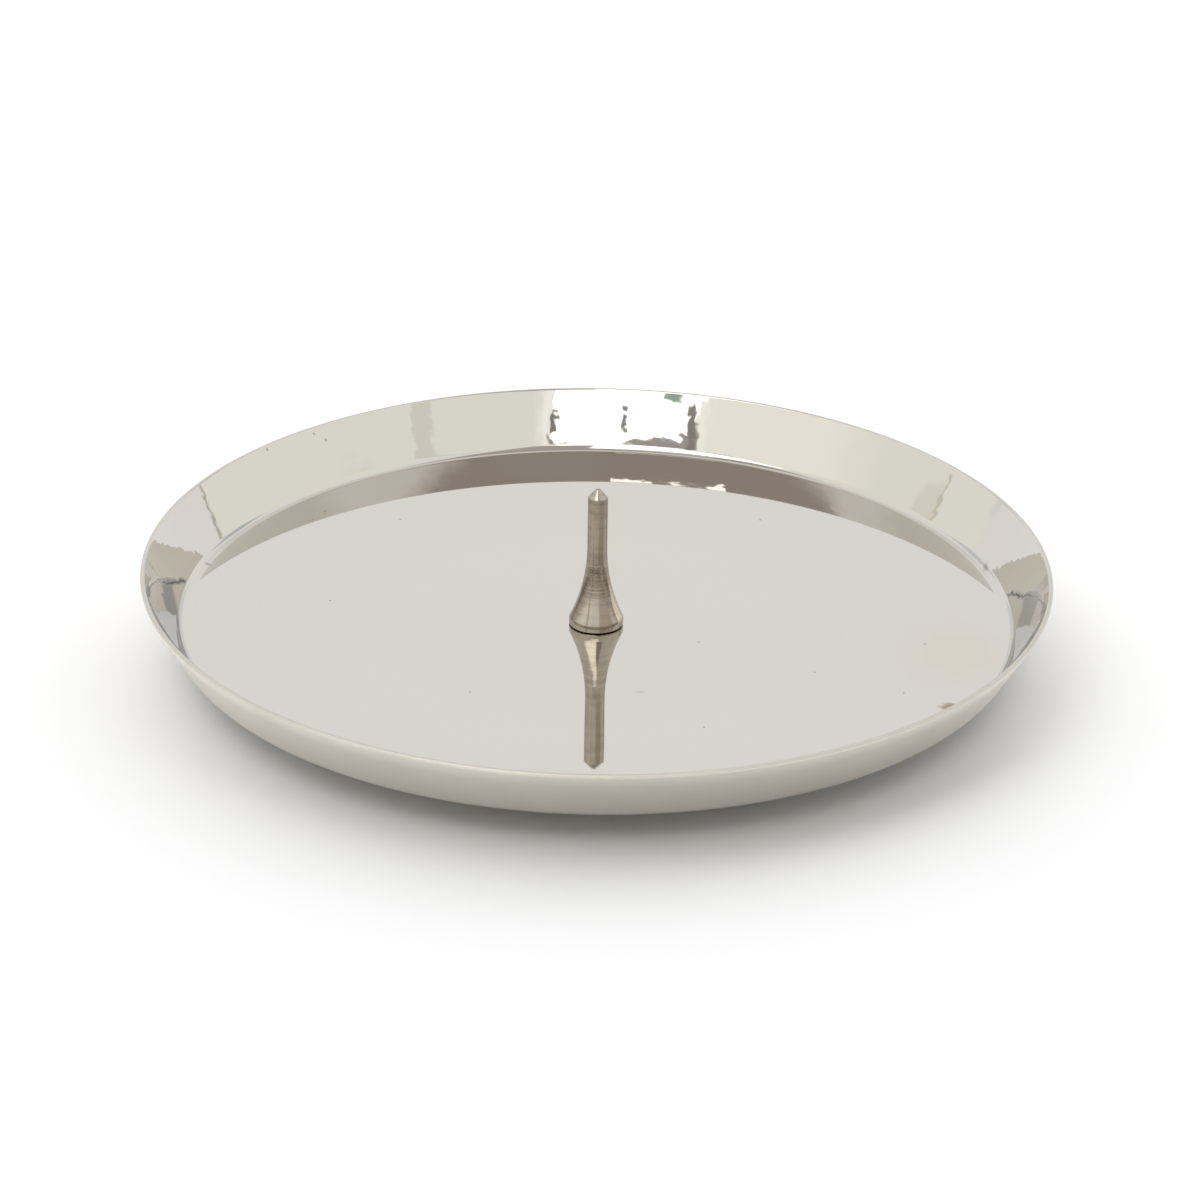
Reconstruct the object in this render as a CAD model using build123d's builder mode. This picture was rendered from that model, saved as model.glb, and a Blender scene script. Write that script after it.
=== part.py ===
"""Candle plate: a round polished dish with an upright spike that holds a pillar candle.

Millimetres, +Z up. The origin is on the table, below the middle of the dish.
The dish stands on three felt feet, and the spike is screwed on from below.
"""
from build123d import *
from math import radians, sin, sqrt, tan
import os

# Dish: one round of sheet metal with a leaning wall
rim_diameter = 140.0  # across the outside of the lip
sheet = 0.8  # metal thickness
wall_height = 9.5  # lip top above the outside corner of the bend
wall_lean = 31.0  # degrees, outwards from upright
bend_radius = 1.8  # inside radius between floor and wall
flat_diameter = 60.0  # level middle of the floor, where the spike sits
bow_width = 6.0  # of the soft bow between the level middle and the sloped outer floor
floor_slope = 1.6  # degrees
screw_hole_diameter = 3.4
lip_bevel = 0.25  # at both edges of the lip, along the wall and across the sheet

# Feet: felt discs glued under the floor
foot_count = 3
foot_diameter = 10.0
foot_height = 3.0  # from the table to the metal above the foot's middle
foot_setback = 25.0  # from the outside of the lip to the middle of a foot
foot_first_angle = 90.0  # degrees, one foot straight behind the spike
glue_film = 0.05

# Spike: turned from bar, with a straight shaft and a flared base
spike_height = 22.8  # above the floor
shaft_diameter = 3.1
shaft_start_height = 13.0  # where the flare ends and the shaft begins
base_diameter = 8.4
base_land_height = 1.1  # straight edge of the base below the flare
base_edge_break = 0.12  # small bevel at the foot of the base
cone_angle = 84.0  # degrees, included angle of the point
tip_flat_diameter = 0.6  # the point is cut off blunt
tapped_depth = 6.5
drill_point_angle = 118.0  # degrees, included angle of the hole's end
thread_clearance = 0.05  # radial room between the screw and its hole

# Washer and screw that hold the spike
washer_outer_diameter = 7.0
washer_inner_diameter = 3.2
washer_thickness = 0.5
screw_diameter = 3.0
screw_length = 6.0  # below the head
screw_tip_bevel = 0.4
head_diameter = 5.6
head_height = 1.6
head_edge_bevel = 0.5
recess_width = 0.75
recess_span = 3.0
recess_depth = 0.9

# Outside of the wall, from the lip down to the corner of the bend
lean = radians(wall_lean)
lip_end_radius = rim_diameter / 2 + lip_bevel * sin(lean)
lip_end_rise = wall_height - (sheet - lip_bevel) * sin(lean)
corner_radius = lip_end_radius - lip_end_rise * tan(lean)

# Underside of the floor: a level middle, a soft bow and an even slope to the corner
flat_radius = flat_diameter / 2
bow_radius = bow_width / sin(radians(floor_slope))


def floor_rise(radius):
    """How far the underside of the floor has climbed above its level middle at a radius."""
    reach = max(radius - flat_radius, 0)
    bowed = min(reach, bow_width)
    sloped = reach - bowed
    return bow_radius - sqrt(bow_radius**2 - bowed**2) + sloped * tan(radians(floor_slope))


# Levels above the table: the underside at the middle, the corner and the floor's top
foot_circle_radius = rim_diameter / 2 - foot_setback
middle_level = foot_height - floor_rise(foot_circle_radius)
corner_level = middle_level + floor_rise(corner_radius)
floor_level = middle_level + sheet

# Dish
with BuildPart() as dish:
    with BuildSketch(Plane.XZ):
        with BuildLine() as outline:
            middle = Line((0, middle_level), (flat_radius, middle_level))
            bow = JernArc(middle @ 1, middle % 1, bow_radius, floor_slope)
            Polyline(
                bow @ 1,
                (corner_radius, corner_level),
                (lip_end_radius, corner_level + lip_end_rise),
            )
            fillet(outline.vertices().sort_by(Axis.X)[-2], bend_radius + sheet)
            offset(amount=sheet, side=Side.LEFT)
            chamfer(outline.vertices().sort_by(Axis.Y)[-2:], lip_bevel)
        make_face()
    revolve(axis=Axis.Z)
    with Locations((0, 0, floor_level)):
        Hole(screw_hole_diameter / 2)
dish.part.label = "dish"

# Spike, drawn as half of its outline with the tapped hole left out
tip_level = floor_level + spike_height
tip_flat_radius = tip_flat_diameter / 2
shaft_radius = shaft_diameter / 2
shoulder_level = tip_level - (shaft_radius - tip_flat_radius) / tan(radians(cone_angle / 2))
shaft_start_level = floor_level + shaft_start_height
base_radius = base_diameter / 2
tapped_radius = screw_diameter / 2 + thread_clearance
tapped_level = floor_level + tapped_depth
drill_point_level = tapped_level + tapped_radius / tan(radians(drill_point_angle / 2))
with BuildPart() as spike:
    with BuildSketch(Plane.XZ):
        with BuildLine():
            Polyline(
                (0, tip_level),
                (0, drill_point_level),
                (tapped_radius, tapped_level),
                (tapped_radius, floor_level),
                (base_radius - base_edge_break, floor_level),
                (base_radius, floor_level + base_edge_break),
                (base_radius, floor_level + base_land_height),
            )
            flare_end = (shaft_radius, shaft_start_level)
            TangentArc(flare_end, (base_radius, floor_level + base_land_height), tangent=(0, -1))
            Polyline(
                flare_end,
                (shaft_radius, shoulder_level),
                (tip_flat_radius, tip_level),
                (0, tip_level),
            )
        make_face()
    revolve(axis=Axis.Z)
spike.part.label = "spike"

# Washer, face to face with the underside
washer_level = middle_level - washer_thickness
with BuildPart() as washer:
    with BuildSketch(Plane.XY.offset(washer_level)):
        Circle(washer_outer_diameter / 2)
        Circle(washer_inner_diameter / 2, mode=Mode.SUBTRACT)
    extrude(amount=washer_thickness)
washer.part.label = "washer"

# Screw, pushed up through the washer and the dish into the spike
with BuildPart() as screw:
    with BuildSketch(Plane.XY.offset(washer_level - head_height)):
        Circle(head_diameter / 2)
    extrude(amount=head_height)
    chamfer(screw.edges().group_by(Axis.Z)[0], head_edge_bevel)
    with BuildSketch(Plane.XY.offset(washer_level)):
        Circle(screw_diameter / 2)
    extrude(amount=screw_length)
    chamfer(screw.edges().group_by(Axis.Z)[-1], screw_tip_bevel)
    with BuildSketch(Plane.XY.offset(washer_level - head_height)):
        Rectangle(recess_span, recess_width)
        Rectangle(recess_width, recess_span)
    extrude(amount=recess_depth, mode=Mode.SUBTRACT)
screw.part.label = "screw"

# Feet, spread evenly below the floor and cut to its slope
foot_radius = foot_diameter / 2
inner_top = middle_level + floor_rise(foot_circle_radius - foot_radius) - glue_film
outer_top = middle_level + floor_rise(foot_circle_radius + foot_radius) - glue_film
feet = []
for number in range(foot_count):
    angle = foot_first_angle + number * 360 / foot_count
    with BuildPart() as foot:
        with BuildSketch():
            with PolarLocations(foot_circle_radius, 1, start_angle=angle):
                Circle(foot_radius)
        extrude(amount=corner_level)
        with BuildSketch(Plane.XZ):
            with BuildLine():
                Polyline(
                    (foot_circle_radius - foot_radius, inner_top),
                    (foot_circle_radius + foot_radius, outer_top),
                    (foot_circle_radius + foot_radius, corner_level),
                    (foot_circle_radius - foot_radius, corner_level),
                    close=True,
                )
            make_face()
        revolve(axis=Axis.Z, mode=Mode.SUBTRACT)
    foot.part.label = f"foot_{number + 1}"
    feet.append(foot.part)

os.makedirs("parts", exist_ok=True)
for piece in [dish.part, spike.part, washer.part, screw.part] + feet:
    export_step(piece, f"parts/{piece.label}.step")
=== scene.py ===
"""Candle plate: a polished dish with a turned spike, held by a screw and standing on felt feet.

Metres, +Z up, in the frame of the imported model, with the table at zero.
"""
import logging
import math
from dataclasses import dataclass
from enum import Enum
from typing import Any

import bmesh
import bpy
from mathutils import Matrix, Vector, noise


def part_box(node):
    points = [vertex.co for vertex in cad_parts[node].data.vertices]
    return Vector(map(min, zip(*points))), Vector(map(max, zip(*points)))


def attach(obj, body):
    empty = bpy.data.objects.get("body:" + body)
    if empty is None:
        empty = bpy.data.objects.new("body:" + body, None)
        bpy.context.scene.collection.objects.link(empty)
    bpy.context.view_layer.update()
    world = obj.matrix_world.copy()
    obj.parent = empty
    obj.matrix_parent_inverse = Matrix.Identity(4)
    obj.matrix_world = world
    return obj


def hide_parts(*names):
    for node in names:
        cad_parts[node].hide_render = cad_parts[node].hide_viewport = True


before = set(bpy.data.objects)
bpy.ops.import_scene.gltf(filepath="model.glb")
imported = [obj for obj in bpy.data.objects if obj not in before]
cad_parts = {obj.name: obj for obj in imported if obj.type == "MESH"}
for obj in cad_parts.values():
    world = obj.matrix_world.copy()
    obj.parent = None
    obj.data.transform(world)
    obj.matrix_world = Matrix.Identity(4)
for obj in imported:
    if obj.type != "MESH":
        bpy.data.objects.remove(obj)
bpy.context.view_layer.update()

log = logging.getLogger("candle_plate")

SHARP_ANGLE = math.radians(35.0)  # an edge that turns further is shaded crisp
MERGE_DISTANCE = 1e-7
QUARTER = math.pi / 2
NOISE_MIDDLE = 0.5
FEET = 3

Colour = tuple[float, float, float]
Place = tuple[float, float, float]
Span = tuple[float, float]
Outline = list[tuple[float, float]]


class Value:
    """A shader socket that carries a number, on which arithmetic adds Math nodes."""

    def __init__(self, graph: "Graph", socket: bpy.types.NodeSocket) -> None:
        """Keep the socket and the graph that owns it."""
        self.graph = graph
        self.socket = socket

    def maths(self, operation: str, *operands: "Value | float") -> "Value":
        """Add one Math node.

        Args:
            operation: what the node does.
            operands: its inputs in order.

        Returns:
            Its result.
        """
        links = {number: operand for number, operand in enumerate(operands)}
        return self.graph.node("ShaderNodeMath", {"operation": operation}, links)

    def __add__(self, other: "Value | float") -> "Value":
        """Sum."""
        return self.maths("ADD", self, other)

    __radd__ = __add__

    def __sub__(self, other: "Value | float") -> "Value":
        """Difference."""
        return self.maths("SUBTRACT", self, other)

    def __rsub__(self, other: float) -> "Value":
        """Difference with the number in front."""
        return self.maths("SUBTRACT", other, self)

    def __mul__(self, other: "Value | float") -> "Value":
        """Product."""
        return self.maths("MULTIPLY", self, other)

    __rmul__ = __mul__

    def __truediv__(self, other: "Value | float") -> "Value":
        """Quotient."""
        return self.maths("DIVIDE", self, other)

    def __pow__(self, other: "Value | float") -> "Value":
        """Power."""
        return self.maths("POWER", self, other)

    def __abs__(self) -> "Value":
        """Distance from zero."""
        return self.maths("ABSOLUTE", self)

    def larger(self, other: "Value | float") -> "Value":
        """The larger of two values."""
        return self.maths("MAXIMUM", self, other)

    def between(self, low: float, high: float) -> "Value":
        """Smooth step from 0 at low to 1 at high.

        Args:
            low: value that gives 0, and may be the larger of the two.
            high: value that gives 1.

        Returns:
            The step, held to 0 and 1 outside the range.
        """
        if low > high:
            return 1 - self.between(high, low)
        settings = {"interpolation_type": "SMOOTHSTEP"}
        return self.graph.node(
            "ShaderNodeMapRange", settings, {"Value": self, "From Min": low, "From Max": high}
        )

    def within(self, low: float, high: float, soft: float) -> "Value":
        """1 between two limits and 0 outside them, with soft edges."""
        return self.between(low - soft, low + soft) * self.between(high + soft, high - soft)


class Graph:
    """The node tree of one material or world, started empty."""

    def __init__(self, owner: bpy.types.Material | bpy.types.World) -> None:
        """Clear the owner's nodes.

        Args:
            owner: the material or world that the nodes belong to.
        """
        owner.use_nodes = True
        self.tree = owner.node_tree
        self.tree.nodes.clear()

    def node(
        self,
        kind: str,
        settings: dict[str, Any] | None = None,
        inputs: dict[str | int, Any] | None = None,
        output: str | int = 0,
    ) -> Value:
        """Add any node.

        Args:
            kind: the node's type.
            settings: attributes set before the sockets, such as an operation.
            inputs: values or links of its sockets, by name or number.
            output: which output is returned, by name or number.

        Returns:
            The chosen output.
        """
        made = self.tree.nodes.new(kind)
        for name, setting in (settings or {}).items():
            setattr(made, name, setting)
        for name, source in (inputs or {}).items():
            socket = made.inputs[name]
            if isinstance(source, Value):
                self.tree.links.new(source.socket, socket)
            else:
                socket.default_value = source
        return Value(self, made.outputs[output] if made.outputs else None)

    def place(self) -> Value:
        """Object coordinates, in metres."""
        return self.node("ShaderNodeTexCoord", output="Object")

    def axes(self, vector: Value) -> tuple[Value, Value, Value]:
        """Split a vector into its three numbers."""
        first = self.node("ShaderNodeSeparateXYZ", None, {"Vector": vector})
        return tuple(Value(self, socket) for socket in first.socket.node.outputs)

    def round_axis(self, point: Value) -> tuple[Value, Value]:
        """Distance of a point from the upright axis, and its height."""
        x, y, z = self.axes(point)
        return (x * x + y * y) ** 0.5, z

    def joined(self, *axes: Value | float) -> Value:
        """Put three numbers together as a vector."""
        links = {number: axis for number, axis in enumerate(axes)}
        return self.node("ShaderNodeCombineXYZ", None, links)

    def noise(
        self, point: Value, scale: float, detail: float = 2.0, roughness: float = 0.5
    ) -> Value:
        """Noise from 0 to 1 at a scale per metre."""
        links = {"Vector": point, "Scale": scale, "Detail": detail, "Roughness": roughness}
        return self.node("ShaderNodeTexNoise", None, links)

    def spot(self, point: Value, centre: Place, size: Place) -> Value:
        """Distance from a spot's centre, as 1 at its edge.

        Args:
            point: where the surface is.
            centre: middle of the spot.
            size: half of its width along each axis.

        Returns:
            The distance, in half widths.
        """
        scale = tuple(1 / half for half in size)
        shift = tuple(-middle / half for middle, half in zip(centre, size))
        links = {"Vector": point, "Scale": scale, "Location": shift}
        scaled = self.node("ShaderNodeMapping", None, links)
        return self.node(
            "ShaderNodeVectorMath", {"operation": "LENGTH"}, {0: scaled}, output="Value"
        )

    def blend(self, share: Value | float, first: Any, second: Any) -> Value:
        """Mix two colours.

        Args:
            share: share of the second colour.
            first: colour, or a link to one.
            second: colour, or a link to one.

        Returns:
            The mixed colour.
        """
        settings = {"data_type": "RGBA"}
        colours = [
            value if isinstance(value, Value) else (*value, 1.0) for value in (first, second)
        ]
        links = {"Factor": share, 6: colours[0], 7: colours[1]}
        return self.node("ShaderNodeMix", settings, links, output=2)

    def bump(
        self, height: Value, strength: Value | float = 1.0, under: Value | None = None
    ) -> Value:
        """Turn a height in metres into a normal.

        Args:
            height: height over the surface.
            strength: share of the effect.
            under: a normal that this one is laid on.

        Returns:
            The bent normal.
        """
        links = {"Height": height, "Strength": strength, "Distance": 1.0}
        if under is not None:
            links["Normal"] = under
        return self.node("ShaderNodeBump", None, links)

    def metal(self, colour: Value, roughness: Value, normal: Value) -> None:
        """End the tree in a bare metal.

        Args:
            colour: its base colour.
            roughness: its roughness.
            normal: its bent normal.
        """
        links = {"Base Color": colour, "Metallic": 1.0, "Roughness": roughness, "Normal": normal}
        shader = self.node("ShaderNodeBsdfPrincipled", None, links)
        self.node("ShaderNodeOutputMaterial", None, {"Surface": shader})


def new_material(name: str) -> tuple[bpy.types.Material, Graph]:
    """Make a material with an empty node tree."""
    material = bpy.data.materials.new(name)
    return material, Graph(material)


def shaded(colour: Colour, *factors: float) -> Colour:
    """A colour with its three parts multiplied by a factor each, or all by one."""
    parts = factors if len(factors) == len(colour) else factors * len(colour)
    return tuple(part * factor for part, factor in zip(colour, parts))


def grey(level: float) -> Colour:
    """A colour without a tint."""
    return (level, level, level)


def arc(
    centre: tuple[float, float], radius: float, start: float, end: float, steps: int
) -> Outline:
    """Points along an arc of an outline.

    Args:
        centre: distance from the axis, and height.
        radius: size of the arc.
        start: first angle, in radians from outwards.
        end: last angle.
        steps: number of straight pieces.

    Returns:
        The points, both ends among them.
    """
    points = []
    for number in range(steps + 1):
        angle = start + (end - start) * number / steps
        points.append((centre[0] + radius * math.cos(angle), centre[1] + radius * math.sin(angle)))
    return points


def spin_outline(outline: Outline, steps: int, closed: bool) -> bmesh.types.BMesh:
    """Spin an outline round the upright axis.

    Args:
        outline: distances from the axis, and heights.
        steps: number of pieces round the axis.
        closed: True for a ring, whose outline ends where it starts.

    Returns:
        A mesh with its doubles merged and its normals outwards.
    """
    shape = bmesh.new()
    points = [shape.verts.new((radius, 0, height)) for radius, height in outline]
    ends = points[1:] + points[:1] if closed else points[1:]
    edges = [shape.edges.new(pair) for pair in zip(points, ends)]
    bmesh.ops.spin(
        shape,
        geom=points + edges,
        axis=(0, 0, 1),
        cent=(0, 0, 0),
        angle=math.tau,
        steps=steps,
        use_merge=True,
        use_duplicate=False,
    )
    bmesh.ops.remove_doubles(shape, verts=shape.verts, dist=MERGE_DISTANCE)
    bmesh.ops.recalc_face_normals(shape, faces=shape.faces)
    return shape


def new_object(shape: bmesh.types.BMesh, name: str) -> bpy.types.Object:
    """Put a shape into the scene, with crisp edges where it turns sharply, and free it.

    Args:
        shape: the finished shape.
        name: name of the object and its mesh.

    Returns:
        The object, at the origin.
    """
    for face in shape.faces:
        face.smooth = True
    for edge in shape.edges:
        edge.smooth = edge.calc_face_angle(0.0) < SHARP_ANGLE
    mesh = bpy.data.meshes.new(name)
    shape.to_mesh(mesh)
    shape.free()
    made = bpy.data.objects.new(name, mesh)
    bpy.context.collection.objects.link(made)
    return made


def finish_piece(
    piece: bpy.types.Object, materials: list[bpy.types.Material], node: str
) -> bpy.types.Object:
    """Dress a piece that stands for a CAD node.

    Args:
        piece: the new piece.
        materials: finishes, in the order of the faces' numbers.
        node: the CAD node that the piece replaces.

    Returns:
        The piece, riding on the root body.
    """
    for material in materials:
        piece.data.materials.append(material)
    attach(piece, "root")
    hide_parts(node)
    return piece


@dataclass(frozen=True)
class Mark:
    """A stain or speck on the polished metal.

    Attributes:
        centre: its middle.
        size: half of its width along each axis.
        tint: factors on the metal's colour.
        ragged: how far its outline wanders, in half widths.
        soft: half of the blur of its outline, in half widths.
    """

    centre: Place
    size: Place
    tint: Colour
    ragged: float
    soft: float


@dataclass(frozen=True)
class PolishedNickel:
    """Mirror-bright nickel inside the dish, a little wavy on the wall.

    The waves grow from none to full across the bend, which is a span of distances from the axis.
    """

    colour: Colour = (0.663, 0.632, 0.588)
    haze_dimming: float = 0.985
    roughness: float = 0.024
    haze: float = 0.03
    bend: Span = (0.0640, 0.0655)
    fine_scale: float = 240.0
    fine_height: float = 3.8e-5
    broad_scale: float = 75.0
    broad_height: float = 1.5e-4
    peel_scale: float = 160.0
    peel_height: float = 1.2e-6
    line_scale: float = 2600.0
    line_range: Span = (0.35, 0.8)
    patch_scale: float = 45.0
    patch_range: Span = (0.35, 0.75)
    outline_cells: float = 1.2
    marks: tuple[Mark, ...] = (
        Mark((0.0549, -0.0102, 0.0038), (0.0062, 0.0080, 0.01), (0.985, 0.97, 0.92), 1.1, 0.8),
        Mark((0.0536, -0.0284, 0.0038), (0.0019, 0.0011, 0.01), (0.52, 0.47, 0.38), 1.2, 0.4),
        Mark((0.0068, -0.0237, 0.0035), (0.0007, 0.0002, 0.01), (0.72, 0.69, 0.65), 0.6, 0.4),
        Mark((-0.0534, 0.0437, 0.0125), (0.0002, 0.0002, 0.0003), (0.55, 0.52, 0.47), 0.5, 0.4),
        Mark((-0.0463, 0.0510, 0.0121), (0.0002, 0.0002, 0.0003), (0.62, 0.58, 0.52), 0.5, 0.4),
        Mark((-0.0444, 0.0516, 0.0108), (0.0002, 0.0002, 0.0003), (0.60, 0.56, 0.50), 0.5, 0.4),
        Mark((-0.0612, 0.0172, 0.0042), (0.0005, 0.0004, 0.0006), (0.66, 0.63, 0.58), 0.9, 0.5),
        Mark((0.0613, 0.0199, 0.0045), (0.0004, 0.0011, 0.0008), (0.68, 0.65, 0.58), 1.6, 0.5),
    )
    speck_size: Place = (0.00016, 0.0002, 0.01)
    speck_tint: Colour = (0.60, 0.57, 0.52)
    speck_ragged: float = 0.6
    speck_soft: float = 0.4
    specks: tuple[Place, ...] = (
        (0.0333, -0.0162, 0.0038),
        (0.0465, -0.0236, 0.0038),
        (0.0158, -0.0061, 0.0038),
        (0.0505, -0.0065, 0.0038),
        (0.0163, -0.0354, 0.0038),
        (-0.0317, 0.0363, 0.0038),
        (-0.0414, 0.0060, 0.0038),
        (0.0261, 0.0385, 0.0038),
        (-0.0188, -0.0246, 0.0038),
    )

    def make(self) -> bpy.types.Material:
        """Build the finish.

        Returns:
            The material.
        """
        material, graph = new_material("polished_nickel")
        point = graph.place()
        radius, height = graph.round_axis(point)

        # Polishing lines run round the dish and fade in and out
        section = graph.joined(radius, height, 0.0)
        lines = graph.noise(section, self.line_scale, detail=3.0, roughness=0.7)
        patches = graph.noise(point, self.patch_scale, detail=3.0)
        haze = lines.between(*self.line_range) * patches.between(*self.patch_range)
        colour = graph.blend(haze, self.colour, shaded(self.colour, self.haze_dimming))
        roughness = self.roughness + haze * self.haze

        speck = (self.speck_size, self.speck_tint, self.speck_ragged, self.speck_soft)
        for mark in (*self.marks, *(Mark(centre, *speck) for centre in self.specks)):
            edge = graph.spot(point, mark.centre, mark.size)
            ragged = graph.noise(point, self.outline_cells / min(mark.size), detail=3.0)
            edge = edge + (ragged - NOISE_MIDDLE) * mark.ragged
            share = edge.between(1 + mark.soft, 1 - mark.soft)
            colour = graph.blend(share, colour, shaded(self.colour, *mark.tint))
            roughness = roughness + share * self.haze

        # The floor is almost even, and the wall mirrors everything with ragged outlines
        fine = graph.noise(point, self.fine_scale, roughness=0.45) * self.fine_height
        broad = graph.noise(point, self.broad_scale, detail=1.0) * self.broad_height
        waves = graph.bump(fine + broad, radius.between(*self.bend))
        peel = graph.noise(point, self.peel_scale) * self.peel_height
        graph.metal(colour, roughness, graph.bump(peel, under=waves))
        return material


@dataclass(frozen=True)
class SatinNickel:
    """Nickel left satin on the outside of the wall and under the floor, with fine spinning lines.

    The top of the wall is painted paler, a painted highlight, and the lip is painted darker,
    painted shade that tones down its highlight. Each starts over a span of heights.
    """

    colour: Colour = (0.77, 0.74, 0.685)
    # Painted highlight: paler towards the top of the wall
    painted_highlight: Colour = (0.88, 0.845, 0.78)
    painted_highlight_levels: Span = (0.0098, 0.0124)
    # Painted shade: darker over the lip, to tone down its highlight
    lip: Colour = (0.64, 0.605, 0.55)
    lip_painted_shade_levels: Span = (0.01245, 0.01285)
    dimming: float = 0.95
    roughness: float = 0.46
    roughness_range: float = 0.12
    line_share: float = 0.5
    line_scale: float = 5200.0
    line_height: float = 8.0e-6
    cloud_scale: float = 70.0
    cloud_range: Span = (0.3, 0.75)
    wave_scale: float = 90.0
    wave_height: float = 3.0e-5

    def make(self) -> bpy.types.Material:
        """Build the finish.

        Returns:
            The material.
        """
        material, graph = new_material("satin_nickel")
        point = graph.place()
        radius, height = graph.round_axis(point)
        section = graph.joined(radius, height, 0.0)
        lines = graph.noise(section, self.line_scale, detail=3.0, roughness=0.7)
        cloud = graph.noise(point, self.cloud_scale, detail=3.0)
        # Painted highlight towards the top of the wall
        colour = graph.blend(height.between(*self.painted_highlight_levels), self.colour, self.painted_highlight)
        # Painted shade over the lip, darker to tone down its highlight
        colour = graph.blend(height.between(*self.lip_painted_shade_levels), colour, self.lip)
        dimmed = graph.node(
            "ShaderNodeVectorMath", {"operation": "SCALE"}, {0: colour, "Scale": self.dimming}
        )
        colour = graph.blend(cloud.between(*self.cloud_range), colour, dimmed)
        worn = lines * self.line_share + cloud * (1 - self.line_share)
        roughness = self.roughness + worn * self.roughness_range
        waves = graph.noise(point, self.wave_scale, detail=1.0) * self.wave_height
        graph.metal(colour, roughness, graph.bump(lines * self.line_height + waves))
        return material


@dataclass(frozen=True)
class TurnedNickel:
    """Nickel on the turned spike, with the marks of the lathe.

    The wax and shade levels are the heights of a dark band round its foot, which is polish and
    wax gathered there together with painted shade in the gap under the base, and the radius
    share widens the rings on faces that lie flat.
    """

    colour: Colour = (0.465, 0.42, 0.358)
    dimming: float = 0.72
    wax_and_painted_shade: Colour = (0.06, 0.05, 0.038)
    wax_and_shade_levels: Span = (0.00366, 0.00358)
    roughness: float = 0.08
    roughness_range: float = 0.12
    radius_share: float = 0.5
    ring_scale: float = 2600.0
    ring_height: float = 1.7e-5
    groove_scale: float = 900.0
    groove_height: float = 2.0e-5
    groove_range: Span = (0.35, 0.7)
    break_scale: float = 420.0
    break_range: Span = (0.25, 0.7)
    relief_range: Span = (0.0, 0.6)

    def make(self) -> bpy.types.Material:
        """Build the finish.

        Returns:
            The material.
        """
        material, graph = new_material("turned_nickel")
        point = graph.place()
        radius, height = graph.round_axis(point)
        section = graph.joined(radius * self.radius_share, height, 0.0)
        rings = graph.noise(section, self.ring_scale, detail=3.0, roughness=0.7)
        grooves = graph.noise(section, self.groove_scale, roughness=0.6)
        breaks = graph.noise(point, self.break_scale)
        share = grooves.between(*self.groove_range) * breaks.between(*self.break_range)
        colour = graph.blend(share, self.colour, shaded(self.colour, self.dimming))
        # Dark band round the foot: polish and wax, and painted shade in the gap under the base
        colour = graph.blend(height.between(*self.wax_and_shade_levels), colour, self.wax_and_painted_shade)
        roughness = self.roughness + rings * self.roughness_range
        relief = rings * self.ring_height + grooves * self.groove_height
        strength = breaks.between(*self.relief_range)
        graph.metal(colour, roughness, graph.bump(relief, strength))
        return material


@dataclass(frozen=True)
class ZincPlate:
    """Bright zinc on the screw and its washer."""

    colour: Colour = (0.62, 0.63, 0.63)
    warm: Colour = (0.60, 0.575, 0.50)
    roughness: float = 0.22
    roughness_range: float = 0.2
    cloud_scale: float = 650.0
    cloud_range: Span = (0.35, 0.8)
    grain_scale: float = 5000.0
    grain_height: float = 4.0e-6

    def make(self) -> bpy.types.Material:
        """Build the finish.

        Returns:
            The material.
        """
        material, graph = new_material("zinc_plate")
        point = graph.place()
        cloud = graph.noise(point, self.cloud_scale, detail=3.0)
        grain = graph.noise(point, self.grain_scale)
        colour = graph.blend(cloud.between(*self.cloud_range), self.colour, self.warm)
        roughness = self.roughness + cloud * self.roughness_range
        graph.metal(colour, roughness, graph.bump(grain * self.grain_height))
        return material


@dataclass(frozen=True)
class PressedFelt:
    """Dark pressed wool felt with short loose fibres."""

    dark: Colour = (0.022, 0.021, 0.020)
    pale: Colour = (0.105, 0.100, 0.094)
    bend_scale: float = 900.0
    bend_reach: float = 0.0011
    fibre_scale: float = 2600.0
    fibre_height: float = 1.2e-4
    strand_width: float = 0.06
    strand_relief: float = 0.4
    tuft_scale: float = 1500.0
    tuft_range: Span = (0.35, 0.7)
    roughness: float = 0.95
    specular: float = 0.15
    sheen: float = 0.35

    def make(self) -> bpy.types.Material:
        """Build the finish.

        Returns:
            The material.
        """
        material, graph = new_material("pressed_felt")
        point = graph.place()

        # The fibres are noise bent by coarser noise, drawn as lines where it crosses its middle
        links = {"Vector": point, "Scale": self.bend_scale, "Detail": 2.0}
        bent = graph.node("ShaderNodeTexNoise", None, links, "Color")
        links = {0: bent, 1: (self.bend_reach,) * 3, 2: point}
        shift = graph.node("ShaderNodeVectorMath", {"operation": "MULTIPLY_ADD"}, links)
        fibres = graph.noise(shift, self.fibre_scale, detail=4.0, roughness=0.75)
        strands = 1 - abs(fibres - NOISE_MIDDLE).between(0.0, self.strand_width)
        share = strands * graph.noise(point, self.tuft_scale).between(*self.tuft_range)
        relief = (fibres + strands * self.strand_relief) * self.fibre_height
        shader = graph.node(
            "ShaderNodeBsdfPrincipled",
            None,
            {
                "Base Color": graph.blend(share, self.dark, self.pale),
                "Roughness": self.roughness,
                "Specular IOR Level": self.specular,
                "Sheen Weight": self.sheen,
                "Normal": graph.bump(relief),
            },
        )
        graph.node("ShaderNodeOutputMaterial", None, {"Surface": shader})
        return material


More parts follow.
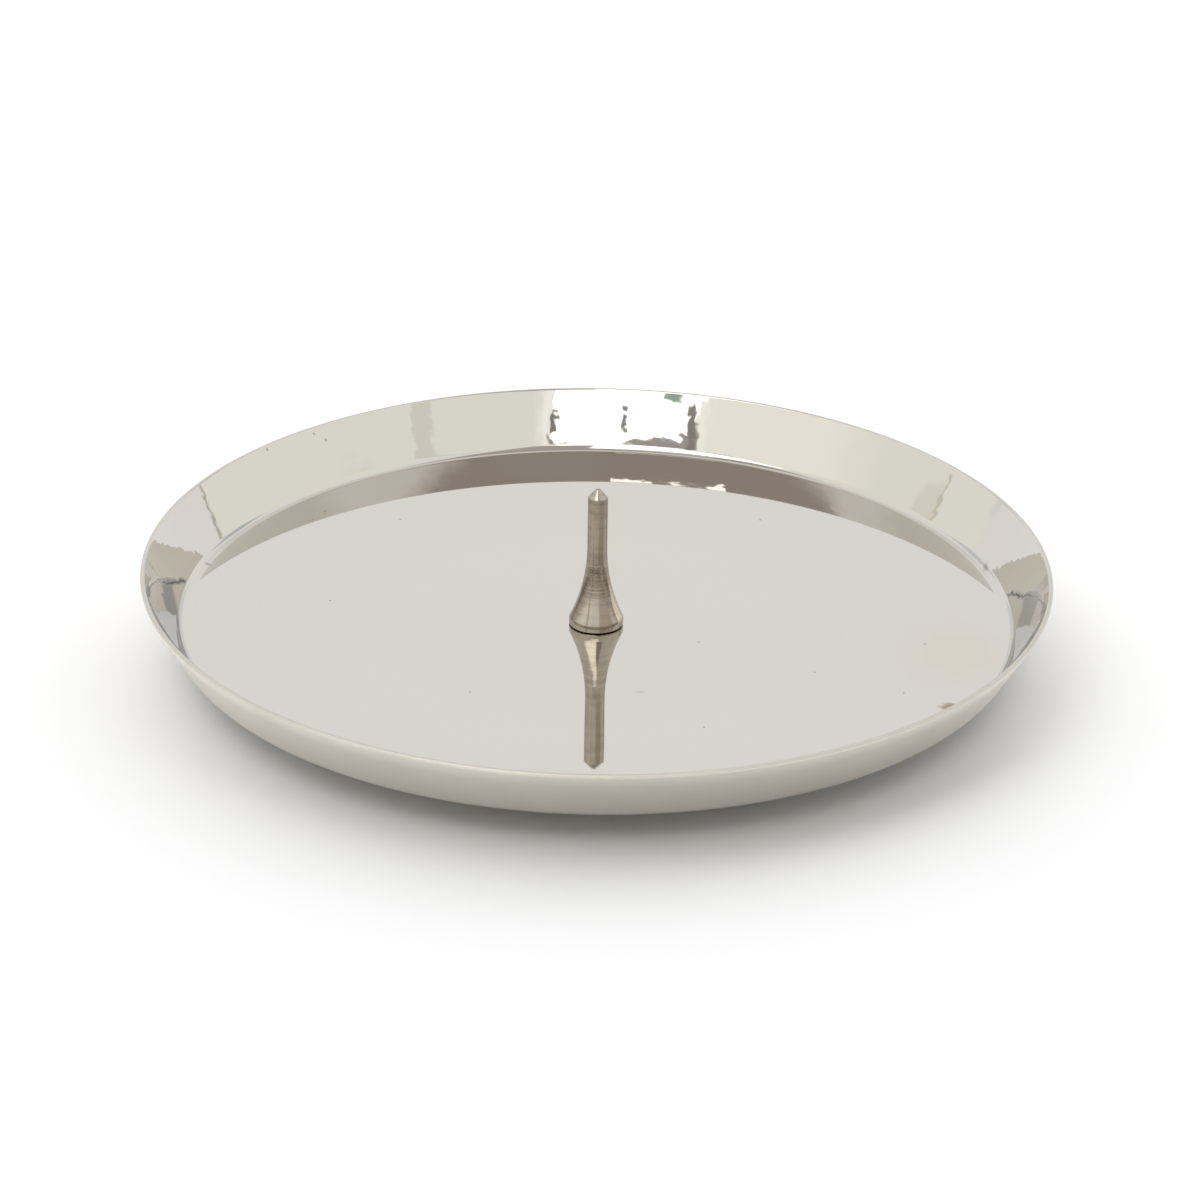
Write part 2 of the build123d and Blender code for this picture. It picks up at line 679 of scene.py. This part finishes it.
@dataclass(frozen=True)
class Dish:
    """The spun dish, drawn as one closed outline.

    The wall has no points between the bend and the lip, so that its shading turns evenly. The
    level middle and the slope are held straight by points beside the bow and the bend, as far
    from them as the support.
    """

    rim_radius: float = 0.070
    sheet: float = 0.0008
    wall_height: float = 0.0095
    wall_lean: float = math.radians(31.0)
    bend_radius: float = 0.0018
    flat_radius: float = 0.030
    bow_width: float = 0.006
    floor_slope: float = math.radians(1.6)
    hole_radius: float = 0.0017
    lip_bevel: float = 0.00025
    lip_rounding: float = 0.00037
    lip_share: float = 0.05
    steps: int = 512
    support: float = 0.00015
    bow_steps: int = 12
    bend_steps: int = 20
    lip_steps: int = 8
    corner_rounds: int = 5

    def floor_rise(self, radius: float) -> float:
        """How far the underside has climbed above its level middle.

        Args:
            radius: distance from the axis.

        Returns:
            The climb.
        """
        bow = self.bow_width / math.sin(self.floor_slope)
        reach = max(radius - self.flat_radius, 0.0)
        bowed = min(reach, self.bow_width)
        return bow - math.sqrt(bow**2 - bowed**2) + (reach - bowed) * math.tan(self.floor_slope)

    def _runs(self, level: float, depth: float) -> Outline:
        """Floor, bend and foot of the wall at a depth into the sheet.

        Args:
            level: height of the underside at the middle.
            depth: distance into the sheet from its underside.

        Returns:
            The points from the middle outwards and up to the end of the bend.
        """
        lean, slope = self.wall_lean, self.floor_slope
        lip = self._lip_end()

        # The corner lies on the slope, so each round brings its radius and level closer
        corner_radius = self.rim_radius
        for _ in range(self.corner_rounds):
            corner_level = level + self.floor_rise(corner_radius)
            corner_radius = lip[0] - (lip[1] - corner_level) * math.tan(lean)

        # The bend is tangent to the sloped floor and to the wall
        outer = self.bend_radius + self.sheet
        setback = outer * math.tan((QUARTER - lean - slope) / 2)
        centre = (
            corner_radius - setback * math.cos(slope) - outer * math.sin(slope),
            corner_level - setback * math.sin(slope) + outer * math.cos(slope),
        )
        bow = self.bow_width / math.sin(slope)
        middle = (self.flat_radius, level + bow)
        points = arc(middle, bow - depth, -QUARTER, slope - QUARTER, self.bow_steps)
        bend = arc(centre, outer - depth, slope - QUARTER, -lean, self.bend_steps)
        out, up = self.support * math.cos(slope), self.support * math.sin(slope)
        points.append((points[-1][0] + out, points[-1][1] + up))
        points.append((bend[0][0] - out, bend[0][1] - up))
        return points + bend

    def _lip_end(self) -> tuple[float, float]:
        """Find where the outside of the wall would meet the end of the sheet if both were sharp.

        Returns:
            Its distance from the axis, and its height.
        """
        share = math.sin(self.wall_lean)
        drop = (self.sheet - self.lip_bevel) * share
        return self.rim_radius + self.lip_bevel * share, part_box("dish")[1].z - drop

    def outline(self, level: float) -> Outline:
        """Section of the sheet as one closed line.

        Args:
            level: height of the underside at the middle.

        Returns:
            The outside from the hole to the lip, and the inside back to the hole.
        """
        lip, rounding, lean = Vector(self._lip_end()), self.lip_rounding, self.wall_lean
        along = Vector((math.sin(lean), math.cos(lean)))
        across = Vector((-math.cos(lean), math.sin(lean)))
        outer = tuple(lip - along * rounding + across * rounding)
        inner = tuple(lip - along * rounding + across * (self.sheet - rounding))
        points = [(self.hole_radius, level), (self.flat_radius - self.support, level)]
        points += self._runs(level, 0.0)
        points += arc(outer, rounding, -lean, QUARTER - lean, self.lip_steps)
        points += arc(inner, rounding, QUARTER - lean, math.pi - lean, self.lip_steps)
        points += reversed(self._runs(level, self.sheet))
        points.append((self.flat_radius - self.support, level + self.sheet))
        points.append((self.hole_radius, level + self.sheet))
        return points

    def make(self, polished: bpy.types.Material, satin: bpy.types.Material) -> bpy.types.Object:
        """Build the dish.

        Args:
            polished: finish of its inside, to the top of the lip.
            satin: finish of its outside and underside.

        Returns:
            The dish.
        """
        shape = spin_outline(self.outline(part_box("dish")[0].z), self.steps, closed=True)

        # Polished is what looks up and in, and the top of the lip
        for face in shape.faces:
            outwards = face.calc_center_median().xy.normalized()
            faces_in = face.normal.xy.dot(outwards) < self.lip_share
            face.material_index = 0 if face.normal.z > 0 and faces_in else 1
        piece = new_object(shape, "spun_dish")
        return finish_piece(piece, [polished, satin], "dish")


@dataclass(frozen=True)
class Spike:
    """The turned spike, with the hole for its screw.

    The undercut is the depth and height of the narrow gap between its base and the floor.
    """

    shaft_radius: float = 0.00155
    shaft_start: float = 0.013
    base_radius: float = 0.0042
    land: float = 0.0011
    edge: float = 0.00012
    undercut: Span = (0.00045, 0.00013)
    half_cone: float = math.radians(42.0)
    tip_radius: float = 0.0003
    bore_radius: float = 0.00155
    bore_depth: float = 0.0065
    half_drill_point: float = math.radians(59.0)
    steps: int = 128
    flare_steps: int = 28
    dome_steps: int = 8

    def make(self, finish: bpy.types.Material) -> bpy.types.Object:
        """Build the spike on the floor of the dish.

        Args:
            finish: its metal.

        Returns:
            The spike.
        """
        low, high = (corner.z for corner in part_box("spike"))

        # The screw's hole and the base with its undercut
        drill_point = low + self.bore_depth + self.bore_radius / math.tan(self.half_drill_point)
        outline = [(0.0, drill_point), (self.bore_radius, low + self.bore_depth)]
        depth, gap = self.undercut
        contact, foot = self.base_radius - depth, low + gap
        outline += [(self.bore_radius, low), (contact, low), (contact, foot)]
        outline += [(self.base_radius - self.edge, foot), (self.base_radius, foot + self.edge)]
        outline += [(self.base_radius, low + self.land)]

        # The flare is tangent to the shaft
        rise = self.shaft_start - self.land
        reach = self.base_radius - self.shaft_radius
        flare = (rise**2 + reach**2) / (2 * reach)
        sweep = math.asin(rise / flare)
        centre = (self.shaft_radius + flare, low + self.shaft_start)
        outline += arc(centre, flare, math.pi + sweep, math.pi, self.flare_steps)[1:]

        # The cone ends in a small dome
        shoulder = high - (self.shaft_radius - self.tip_radius) / math.tan(self.half_cone)
        dome = self.tip_radius * math.cos(self.half_cone) / (1 - math.sin(self.half_cone))
        outline.append((self.shaft_radius, shoulder))
        outline += arc((0.0, high - dome), dome, self.half_cone, QUARTER, self.dome_steps)
        piece = new_object(spin_outline(outline, self.steps, closed=False), "turned_spike")
        return finish_piece(piece, [finish], "spike")


@dataclass(frozen=True)
class Washer:
    """The stamped washer, rounded on the side that the punch entered."""

    outer_radius: float = 0.0035
    inner_radius: float = 0.0016
    rounding: float = 0.00014
    burr: float = 0.00004
    steps: int = 96
    edge_steps: int = 4

    def make(self, finish: bpy.types.Material) -> bpy.types.Object:
        """Build the washer under the dish.

        Args:
            finish: its metal.

        Returns:
            The washer.
        """
        low, high = (corner.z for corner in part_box("washer"))
        soft, inner, outer = self.rounding, self.inner_radius, self.outer_radius
        outline = arc((outer - soft, low + soft), soft, -QUARTER, 0.0, self.edge_steps)
        outline += [(outer, high - self.burr), (outer - self.burr, high)]
        outline += [(inner + self.burr, high), (inner, high - self.burr)]
        outline += arc((inner + soft, low + soft), soft, -math.pi, -QUARTER, self.edge_steps)
        piece = new_object(spin_outline(outline, self.steps, closed=True), "stamped_washer")
        return finish_piece(piece, [finish], "washer")


@dataclass(frozen=True)
class Screw:
    """The screw, with a domed head, a cross recess and a thread.

    The thread shares say where each crest starts to rise, is reached and ends, in pitches.
    """

    head_radius: float = 0.0028
    head_height: float = 0.0016
    dome: float = 0.00085
    dish_in: float = 0.00012
    thread_radius: float = 0.0015
    core_radius: float = 0.00123
    pitch: float = 0.0005
    thread_shares: tuple[float, float, float] = (0.2, 0.55, 0.65)
    tip_bevel: float = 0.0004
    recess_half_width: float = 0.000375
    recess_half_span: float = 0.0015
    recess_depth: float = 0.0009
    recess_taper: float = 0.62
    steps: int = 96
    dome_steps: int = 10

    def _cutter(self, low: float) -> bpy.types.Object:
        """Cross that is cut out of the head, narrower at its end.

        Args:
            low: height of the head's lowest point.

        Returns:
            The cross as an object of its own.
        """
        width, span = self.recess_half_width, self.recess_half_span
        corner = [(width, width), (width, span), (-width, span)]
        shape = bmesh.new()
        points = []
        for arm in range(4):
            turn = Matrix.Rotation(arm * QUARTER, 2)
            for spot in corner:
                points.append(shape.verts.new((*(turn @ Vector(spot)), low - self.recess_depth)))
        made = bmesh.ops.extrude_face_region(shape, geom=[shape.faces.new(points)])
        top = [part for part in made["geom"] if isinstance(part, bmesh.types.BMVert)]
        bmesh.ops.scale(shape, vec=(self.recess_taper, self.recess_taper, 1.0), verts=top)
        bmesh.ops.translate(shape, vec=(0, 0, 2 * self.recess_depth), verts=top)
        bmesh.ops.holes_fill(shape, edges=shape.edges)
        bmesh.ops.recalc_face_normals(shape, faces=shape.faces)
        return new_object(shape, "cross_cutter")

    def make(self, finish: bpy.types.Material) -> bpy.types.Object:
        """Build the screw, from the head below the washer to its end in the spike.

        Args:
            finish: its metal.

        Returns:
            The screw.
        """
        low, high = (corner.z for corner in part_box("screw"))
        seat, tip = low + self.head_height, high - self.tip_bevel
        centre = (self.head_radius - self.dome, low + self.dome)
        outline = [(0.0, low + self.dish_in)]
        outline += arc(centre, self.dome, -QUARTER, 0.0, self.dome_steps)
        outline += [(self.head_radius, seat), (self.core_radius, seat)]
        turns = int((tip - seat) / self.pitch)
        thread = (self.core_radius, self.thread_radius, self.thread_radius)
        for turn in range(turns):
            start = seat + turn * self.pitch
            for radius, share in zip(thread, self.thread_shares):
                outline.append((radius, start + self.pitch * share))
        outline += [(self.core_radius, seat + turns * self.pitch), (self.core_radius, tip)]
        outline += [(self.thread_radius - self.tip_bevel, high), (0.0, high)]
        screw = new_object(spin_outline(outline, self.steps, closed=False), "cross_screw")
        cutter = self._cutter(low)
        cut = screw.modifiers.new("recess", "BOOLEAN")
        cut.operation = "DIFFERENCE"
        cut.solver = "EXACT"
        cut.object = cutter
        bpy.context.view_layer.update()
        solid = bpy.data.meshes.new_from_object(
            screw.evaluated_get(bpy.context.evaluated_depsgraph_get())
        )
        screw.modifiers.clear()
        screw.data = solid
        bpy.data.objects.remove(cutter)
        return finish_piece(screw, [finish], "screw")


@dataclass(frozen=True)
class FeltFoot:
    """One felt disc, with worn edges and its top cut to the floor's slope.

    The feet are counted from the one straight behind the spike, and their angles are in degrees.
    """

    number: int
    first_angle: float = 90.0
    spacing: float = 120.0
    setback: float = 0.025
    radius: float = 0.005
    glue: float = 0.00005
    rounding: float = 0.0005
    fuzz: float = 0.00006
    fuzz_scale: float = 1400.0
    steps: int = 96
    rings: int = 10
    edge_steps: int = 6

    def make(self, dish: Dish, finish: bpy.types.Material) -> bpy.types.Object:
        """Build the foot between the table and the dish.

        Args:
            dish: the dish that it is glued to.
            finish: its felt.

        Returns:
            The foot.
        """
        angle = math.radians(self.first_angle + (self.number - 1) * self.spacing)
        reach = dish.rim_radius - self.setback
        centre = Vector((reach * math.cos(angle), reach * math.sin(angle), 0.0))
        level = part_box("dish")[0].z
        height = level + dish.floor_rise(reach)
        edge, soft = self.radius - self.rounding - self.fuzz, self.rounding
        ring = [edge * number / self.rings for number in range(self.rings + 1)]
        outline = [(radius, 0.0) for radius in ring[:-1]]
        outline += arc((edge, soft), soft, -QUARTER, 0.0, self.edge_steps)
        outline += arc((edge, height - soft), soft, 0.0, QUARTER, self.edge_steps)
        outline += [(radius, height) for radius in reversed(ring[:-1])]
        shape = spin_outline(outline, self.steps, closed=False)

        # The side is fuzzy, most of all half way up, and the top follows the floor
        for vertex in shape.verts:
            spot = vertex.co + centre
            top = level + dish.floor_rise(spot.xy.length) - self.glue
            share = vertex.co.z / height
            side = 4 * share * (1 - share)
            out = Vector((vertex.co.x, vertex.co.y, 0.0)).normalized()
            lift = noise.noise(spot * self.fuzz_scale) * self.fuzz * side
            vertex.co = spot + out * lift
            vertex.co.z = share * top
        piece = new_object(shape, f"felt_foot_{self.number}")
        return finish_piece(piece, [finish], f"foot_{self.number}")


class Hung(Enum):
    """How a card of the studio hangs, and what its limits are measured in."""

    UPRIGHT = "round the object: degrees from the camera to the right, and above the table"
    OVERHEAD = "above the object: heights to the right, and to the back"


@dataclass(frozen=True)
class Card:
    """A panel of the studio, which mirrors see or which lights the table and the object.

    Attributes:
        hung: how it hangs, and so what its limits are measured in.
        across: its left and right limits.
        onwards: its lower and upper limits, or its near and far ones.
        colour: its brightness and tint, where 1 is white.
        soft: half of the blur of its edges.
        slant: how far its onward limits lean, for each unit across.
    """

    hung: Hung
    across: Span
    onwards: Span
    colour: Colour
    soft: float
    slant: float = 0.0


@dataclass(frozen=True)
class Studio:
    """Table, light and camera.

    The white backdrop is what the camera sees. Mirrors see it with the cards hung in front, and
    everything else is lit by the sky with the lamps hung in front. Where a card passes behind
    the object it is given twice, once on each side of half a turn.
    """

    view_distance: float = 0.84
    view_elevation: float = math.radians(25.44)
    view_roll: float = math.radians(0.942)
    frame_pixels: float = 1200.0
    pixels_per_rim_radius: float = 454.22
    rim_radius: float = 0.070
    aim: Place = (0.000546, 0.0, 0.00742)
    sensor: float = 36.0
    table_side: float = 6.0
    table_colour: Colour = grey(0.97)
    backdrop: Colour = grey(1.0)
    sky: Colour = grey(0.77)
    lowest: float = 0.02
    lamps: tuple[Card, ...] = (
        Card(Hung.UPRIGHT, (-135.0, -50.0), (-20.0, 40.0), grey(0.95), 6.0),
        Card(Hung.UPRIGHT, (45.0, 135.0), (40.0, 95.0), grey(0.82), 6.0),
        Card(Hung.UPRIGHT, (-200.0, -50.0), (40.0, 95.0), grey(1.72), 6.0),
        Card(Hung.UPRIGHT, (135.0, 200.0), (40.0, 95.0), grey(1.72), 6.0),
        Card(Hung.UPRIGHT, (125.0, 200.0), (-20.0, 40.0), grey(2.36), 6.0),
        Card(Hung.UPRIGHT, (-200.0, -125.0), (-20.0, 40.0), grey(2.36), 6.0),
        Card(Hung.UPRIGHT, (-50.0, 50.0), (-20.0, 18.0), grey(0.41), 6.0),
        Card(Hung.UPRIGHT, (-50.0, 50.0), (18.0, 95.0), grey(0.11), 6.0),
    )
    cards: tuple[Card, ...] = (
        Card(Hung.UPRIGHT, (-122.0, 122.6), (-20.0, 62.0), (1.02, 1.03, 0.98), 0.5),
        Card(Hung.UPRIGHT, (-76.0, -26.0), (-20.0, 62.0), (1.17, 1.16, 1.10), 12.0),
        Card(Hung.UPRIGHT, (13.0, 18.0), (37.0, 62.0), (1.27, 1.28, 1.26), 3.0),
        Card(Hung.UPRIGHT, (-32.5, -27.0), (37.0, 62.0), (1.27, 1.28, 1.22), 2.0),
        Card(Hung.UPRIGHT, (49.5, 56.0), (-20.0, 62.0), (0.88, 0.88, 0.83), 0.7),
        Card(Hung.UPRIGHT, (122.0, 122.8), (-20.0, 22.0), (0.55, 0.54, 0.48), 0.45),
        Card(Hung.UPRIGHT, (-104.4, -97.0), (-20.0, 22.0), (0.93, 0.92, 0.86), 0.9),
        Card(Hung.UPRIGHT, (-104.7, -104.0), (-20.0, 22.5), (0.75, 0.72, 0.62), 0.3),
        Card(Hung.UPRIGHT, (-140.0, -122.0), (14.0, 32.0), (0.74, 0.77, 0.79), 2.0),
        Card(Hung.UPRIGHT, (118.0, 134.0), (20.0, 36.0), (0.62, 0.65, 0.68), 2.0),
        Card(Hung.UPRIGHT, (150.0, 200.0), (-20.0, 19.0), (0.82, 0.84, 0.88), 3.0),
        Card(Hung.UPRIGHT, (-200.0, -150.0), (-20.0, 19.0), (0.82, 0.84, 0.88), 3.0),
        Card(Hung.UPRIGHT, (143.0, 200.0), (33.0, 66.0), (0.85, 0.85, 0.82), 5.0),
        Card(Hung.UPRIGHT, (-200.0, -147.0), (33.0, 66.0), (0.85, 0.85, 0.82), 5.0),
        Card(Hung.UPRIGHT, (-43.0, -38.0), (5.0, 28.0), (0.42, 0.40, 0.36), 0.9),
        Card(Hung.UPRIGHT, (14.0, 75.0), (5.0, 28.0), (0.68, 0.64, 0.57), 4.0),
        Card(Hung.OVERHEAD, (-0.40, 0.30), (-0.07, 0.43), (0.50, 0.46, 0.43), 0.05),
        Card(Hung.OVERHEAD, (0.0, 0.30), (-0.72, 0.10), (0.52, 0.49, 0.46), 0.02),
        Card(Hung.UPRIGHT, (-30.0, 15.0), (35.0, 40.0), (0.45, 0.43, 0.41), 0.6),
        Card(Hung.UPRIGHT, (-28.4, 13.4), (39.3, 54.0), grey(2.4), 0.15),
        Card(Hung.OVERHEAD, (-0.56, 0.02), (-1.10, -0.03), grey(2.4), 0.012),
        Card(Hung.OVERHEAD, (-0.22, -0.03), (0.078, 0.10), grey(2.4), 0.002, 0.40),
        Card(Hung.UPRIGHT, (11.3, 13.7), (40.7, 42.6), (0.30, 0.28, 0.27), 0.35),
        Card(Hung.UPRIGHT, (-28.9, -26.2), (38.0, 42.6), (0.33, 0.31, 0.29), 0.35),
        Card(Hung.UPRIGHT, (-9.2, -7.3), (41.2, 42.4), (0.34, 0.33, 0.37), 0.25),
        Card(Hung.UPRIGHT, (-44.0, -19.0), (43.8, 48.0), (0.38, 0.52, 0.48), 0.25),
    )

    def make_camera(self) -> bpy.types.Object:
        """Aim the camera from the photograph's viewing angle.

        Returns:
            The camera.
        """
        data = bpy.data.cameras.new("camera")
        data.sensor_width = self.sensor
        view = self.view_distance / self.rim_radius * self.pixels_per_rim_radius
        data.lens = self.sensor * view / self.frame_pixels
        camera = bpy.data.objects.new("camera", data)
        bpy.context.collection.objects.link(camera)
        forward = Vector((0, math.cos(self.view_elevation), -math.sin(self.view_elevation)))
        right = Vector((1, 0, 0))
        up = right.cross(forward)
        turned_right = right * math.cos(self.view_roll) + up * math.sin(self.view_roll)
        turned_up = up * math.cos(self.view_roll) - right * math.sin(self.view_roll)
        pose = Matrix((turned_right, turned_up, -forward)).transposed().to_4x4()
        pose.translation = Vector(self.aim) - forward * self.view_distance
        camera.matrix_world = pose
        bpy.context.scene.camera = camera
        return camera

    def make_table(self) -> bpy.types.Object:
        """Lay the white table under the object, with nothing in the way from below.

        Returns:
            The table.
        """
        material, graph = new_material("white_table")
        paint = {
            "Base Color": (*self.table_colour, 1.0),
            "Roughness": 1.0,
            "Specular IOR Level": 0.0,
        }
        painted = graph.node("ShaderNodeBsdfPrincipled", None, paint)
        clear = graph.node("ShaderNodeBsdfTransparent")
        below = graph.node("ShaderNodeNewGeometry", output="Backfacing")
        shader = graph.node("ShaderNodeMixShader", None, {0: below, 1: painted, 2: clear})
        graph.node("ShaderNodeOutputMaterial", None, {"Surface": shader})
        shape = bmesh.new()
        bmesh.ops.create_grid(shape, x_segments=1, y_segments=1, size=self.table_side / 2)
        table = new_object(shape, "table")
        table.data.materials.append(material)
        return table

    def _hung(self, graph: Graph, wall: Colour, cards: tuple[Card, ...]) -> Value:
        """Colour that a ray meets, worked out from its direction.

        Args:
            graph: the world's nodes.
            wall: colour behind the cards.
            cards: what hangs in front of it, the nearest last.

        Returns:
            The colour.
        """
        x, y, z = graph.axes(graph.node("ShaderNodeTexCoord", output="Generated"))
        turn = x.maths("ARCTAN2", x, -1 * y) * math.degrees(1.0)
        rise = z.maths("ARCSINE", z) * math.degrees(1.0)

        # A level ray would meet what hangs overhead endlessly far away
        height = z.larger(self.lowest)
        limits = {Hung.UPRIGHT: (turn, rise), Hung.OVERHEAD: (x / height, y / height)}
        colour = wall
        for card in cards:
            across, onwards = limits[card.hung]
            if card.slant:
                onwards = onwards + across * card.slant
            share = across.within(*card.across, card.soft)
            share = share * onwards.within(*card.onwards, card.soft)
            colour = graph.blend(share, colour, card.colour)
        return colour

    def make_sky(self) -> bpy.types.World:
        """Hang the lamps that light the table, and the cards and backdrop that mirrors see.

        Returns:
            The world.
        """
        world = bpy.data.worlds.new("studio")
        bpy.context.scene.world = world
        graph = Graph(world)
        camera, glossy, through = (
            graph.node("ShaderNodeLightPath", output=f"Is {ray} Ray")
            for ray in ("Camera", "Glossy", "Transmission")
        )
        mirrored = graph.blend(camera, self._hung(graph, self.backdrop, self.cards), self.backdrop)
        light = self._hung(graph, self.sky, self.lamps)
        colour = graph.blend(camera + glossy + through, light, mirrored)
        shader = graph.node("ShaderNodeBackground", None, {"Color": colour, "Strength": 1.0})
        graph.node("ShaderNodeOutputWorld", None, {"Surface": shader})
        return world


def report(piece: bpy.types.Object) -> None:
    """Log a finished piece and its number of faces."""
    log.info("%s: %d faces", piece.name, len(piece.data.polygons))


def main() -> None:
    """Build the pieces, the studio and the camera."""
    logging.basicConfig(level=logging.INFO, format="%(message)s")
    studio = Studio()
    for made in (studio.make_camera(), studio.make_table(), studio.make_sky()):
        log.info("%s: in place", made.name)
    bpy.context.scene.view_settings.view_transform = "Standard"

    dish = Dish()
    report(dish.make(PolishedNickel().make(), SatinNickel().make()))
    report(Spike().make(TurnedNickel().make()))
    zinc = ZincPlate().make()
    report(Washer().make(zinc))
    report(Screw().make(zinc))
    felt = PressedFelt().make()
    for number in range(1, FEET + 1):
        report(FeltFoot(number).make(dish, felt))


if __name__ == "__main__":
    main()
